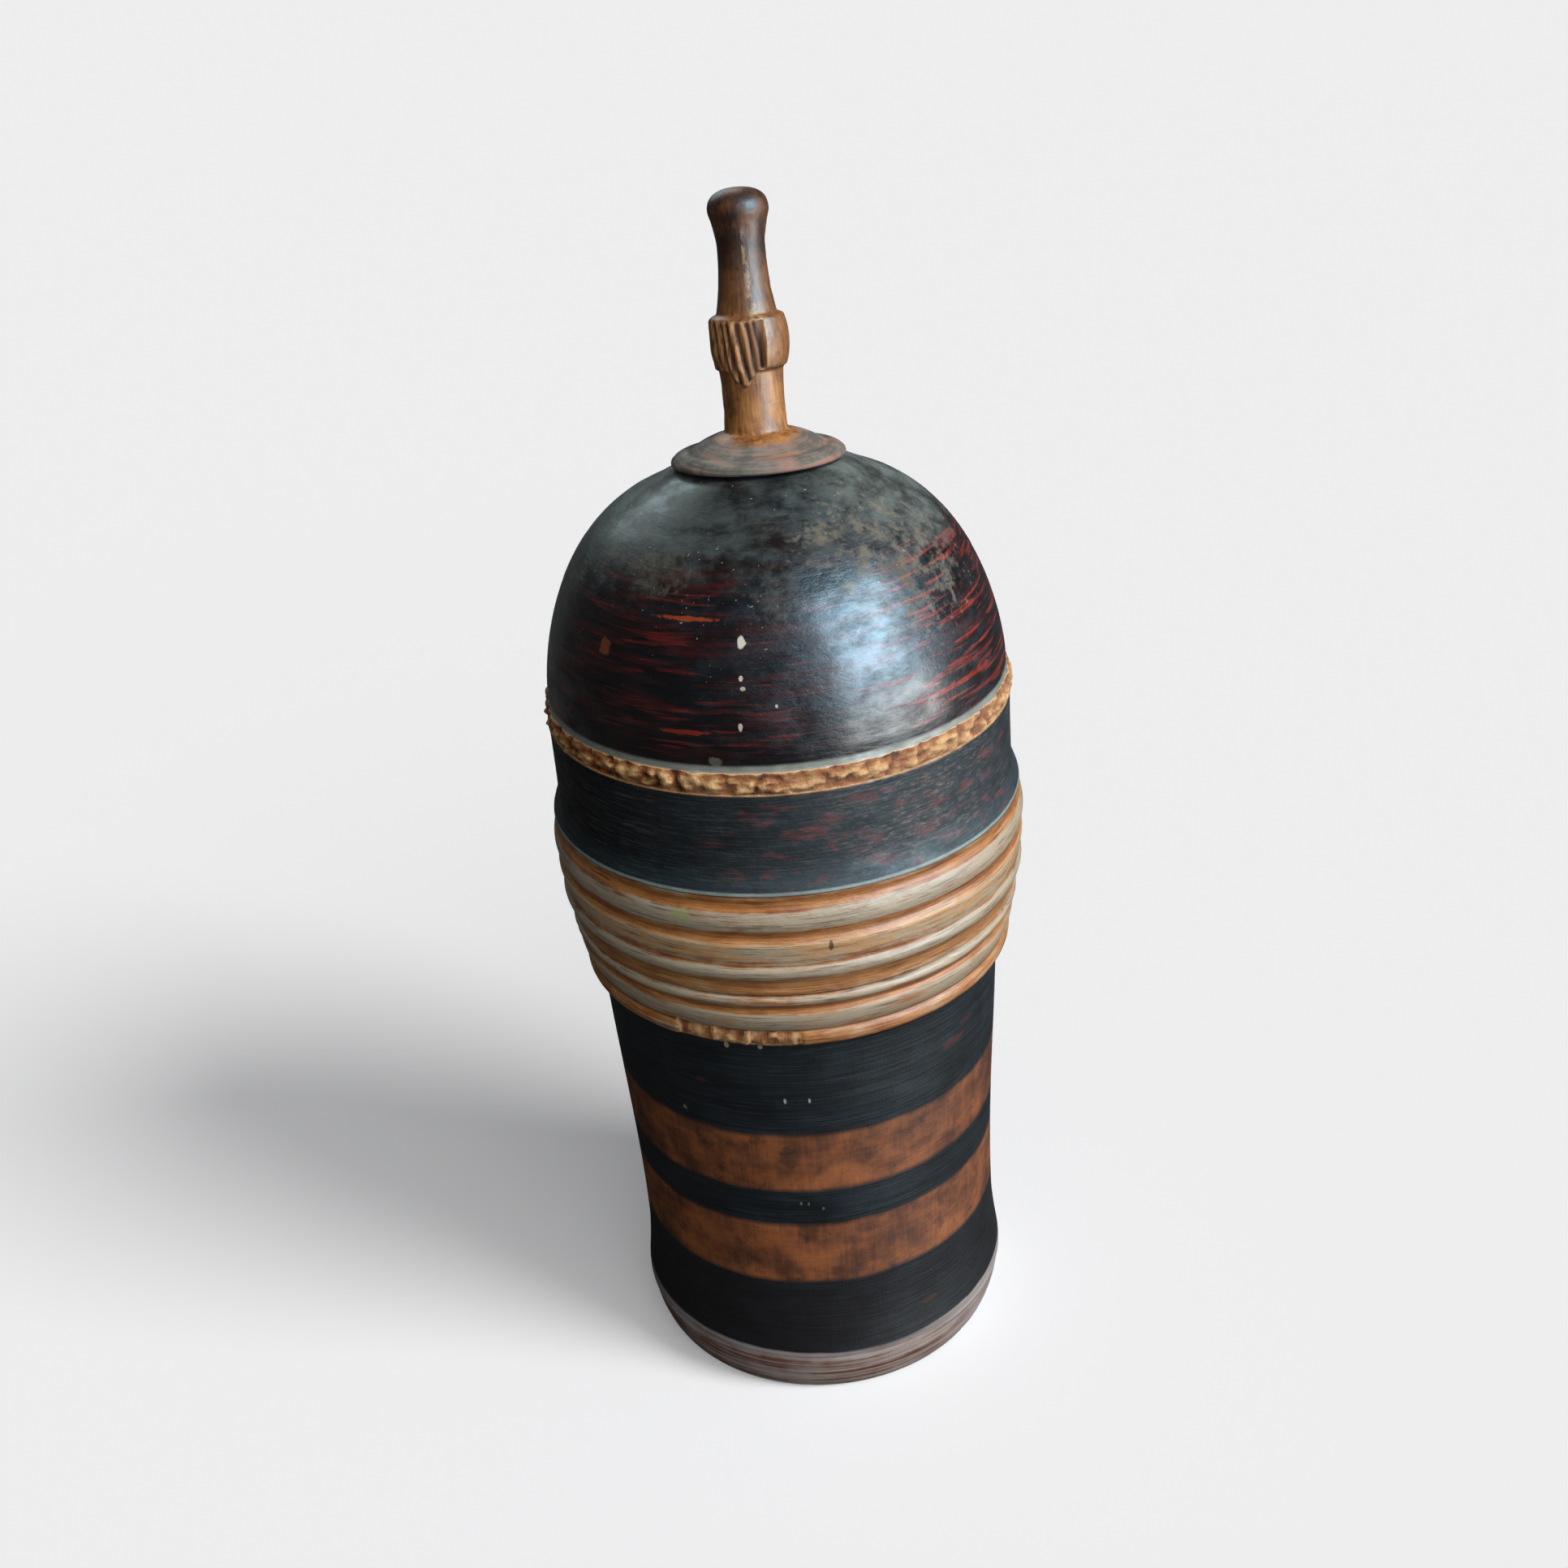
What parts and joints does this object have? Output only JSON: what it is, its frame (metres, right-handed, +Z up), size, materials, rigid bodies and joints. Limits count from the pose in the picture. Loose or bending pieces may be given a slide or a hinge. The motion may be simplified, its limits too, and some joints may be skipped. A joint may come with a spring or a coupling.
{
  "type": "wooden pyxis",
  "caption": "Tall lathe-turned wooden box on a low foot, banded dark and brown, with moulded mouth, lift-off domed lid and slender finial with a broken collar.",
  "frame": {"origin": "centre of the foot's underside, where the box stands", "axes": "+Z up along the axis of the lathe; -Y is the front, the side that the picture shows; +X to the right seen from the front"},
  "size_m": [0.0966, 0.0966, 0.2462],
  "materials": {
    "body": "worn satin lacquer in dark bands over reddish brown wood",
    "lid": "worn glossy dark lacquer with rubbed mouldings and a raw broken bead",
    "finial": "rubbed orange-brown wood, with a raw break in the collar"
  },
  "bodies": {
    "root": {"body": "body", "lid": "lid", "finial": "finial"}
  },
  "joints": []
}
